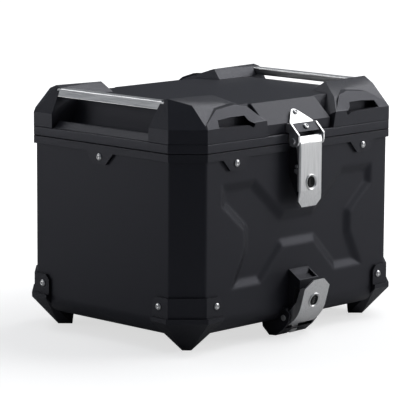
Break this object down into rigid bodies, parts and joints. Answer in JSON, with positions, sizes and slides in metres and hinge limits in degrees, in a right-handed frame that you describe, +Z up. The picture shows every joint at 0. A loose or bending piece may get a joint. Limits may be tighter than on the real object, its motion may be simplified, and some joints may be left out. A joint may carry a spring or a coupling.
{
  "type": "motorcycle top case",
  "caption": "Hard octagonal luggage box for a motorcycle rack, with a hinged lid, grab bars, strap corners, a locking lid lever and a locking rack lever.",
  "frame": {"origin": "on the plane of the feet, under the middle of the part's overall box", "axes": "+X along the width, the latches are on the -Y side and the hinges on the +Y side, +Z up"},
  "size_m": [0.4176, 0.352, 0.3145],
  "materials": {
    "coated_sheet": "satin charcoal powder coat",
    "black_plastic": "moulded, fine grain",
    "grey_plastic": "moulded, satin",
    "stainless": "satin",
    "lock_chrome": "polished",
    "rivet_steel": "bright",
    "bar_aluminium": "brushed along its length",
    "gasket_rubber": "matt"
  },
  "bodies": {
    "case": {"case_shell": "coated_sheet", "floor_plate": "coated_sheet", "rim_frame": "black_plastic", "rim_rivet_front_left": "rivet_steel", "rim_rivet_front_right": "rivet_steel", "rim_rivet_rear_left": "rivet_steel", "rim_rivet_rear_right": "rivet_steel", "rim_rivet_left": "rivet_steel", "rim_rivet_right": "rivet_steel", "corner_guard_front_left": "black_plastic", "corner_guard_front_right": "black_plastic", "corner_guard_rear_left": "black_plastic", "corner_guard_rear_right": "black_plastic", "guard_rivet_front_left_face": "rivet_steel", "guard_rivet_front_left_side": "rivet_steel", "guard_rivet_front_right_face": "rivet_steel", "guard_rivet_front_right_side": "rivet_steel", "guard_rivet_rear_left_face": "rivet_steel", "guard_rivet_rear_left_side": "rivet_steel", "guard_rivet_rear_right_face": "rivet_steel", "guard_rivet_rear_right_side": "rivet_steel", "lid_latch_housing": "black_plastic", "lid_latch_keeper": "stainless", "rack_latch_housing": "black_plastic", "rack_lever_pin": "stainless", "rack_hook_left": "stainless", "rack_hook_right": "stainless", "hinge_case_leaf_left": "stainless", "hinge_case_leaf_right": "stainless", "hinge_pin_left": "stainless", "hinge_pin_right": "stainless"},
    "lid": {"lid_frame": "grey_plastic", "lid_gasket": "gasket_rubber", "lid_panel": "coated_sheet", "tie_down_corner_front_left": "grey_plastic", "tie_down_corner_front_right": "grey_plastic", "tie_down_corner_rear_left": "grey_plastic", "tie_down_corner_rear_right": "grey_plastic", "grab_bar_left": "bar_aluminium", "grab_bar_right": "bar_aluminium", "latch_bracket": "stainless", "bracket_cover": "black_plastic", "bracket_tab_screw": "stainless", "bracket_cover_screw": "stainless", "lid_lever_pin": "stainless", "hinge_lid_leaf_left": "stainless", "hinge_lid_leaf_right": "stainless"},
    "lid_latch_lever": {"lid_lever": "stainless", "lid_lock_bezel": "lock_chrome"},
    "lid_lock": {"lid_lock_core": "lock_chrome"},
    "rack_latch_lever": {"rack_lever": "stainless", "rack_claw": "stainless", "rack_lock_bezel": "lock_chrome"},
    "rack_lock": {"rack_lock_core": "lock_chrome"}
  },
  "joints": [
    {"name": "lid_hinge", "type": "hinge", "parent": "case", "child": "lid", "pos_m": [0, 0.1721, 0.251], "axis": [-1, 0, 0], "range_deg": [0, 95]},
    {"name": "lid_lever_pivot", "type": "hinge", "parent": "lid", "child": "lid_latch_lever", "pos_m": [0, -0.1504, 0.253], "axis": [-1, 0, 0], "range_deg": [0, 95]},
    {"name": "lid_lock_turn", "type": "hinge", "parent": "lid_latch_lever", "child": "lid_lock", "pos_m": [0, -0.1604, 0.2], "axis": [0, -1, 0], "range_deg": [0, 90]},
    {"name": "rack_lever_pivot", "type": "hinge", "parent": "case", "child": "rack_latch_lever", "pos_m": [0, -0.1414, 0.0263], "axis": [1, 0, 0], "range_deg": [0, 40]},
    {"name": "rack_lock_turn", "type": "hinge", "parent": "rack_latch_lever", "child": "rack_lock", "pos_m": [0, -0.1676, 0.0494], "axis": [0, -0.962, -0.273], "range_deg": [0, 90]}
  ]
}
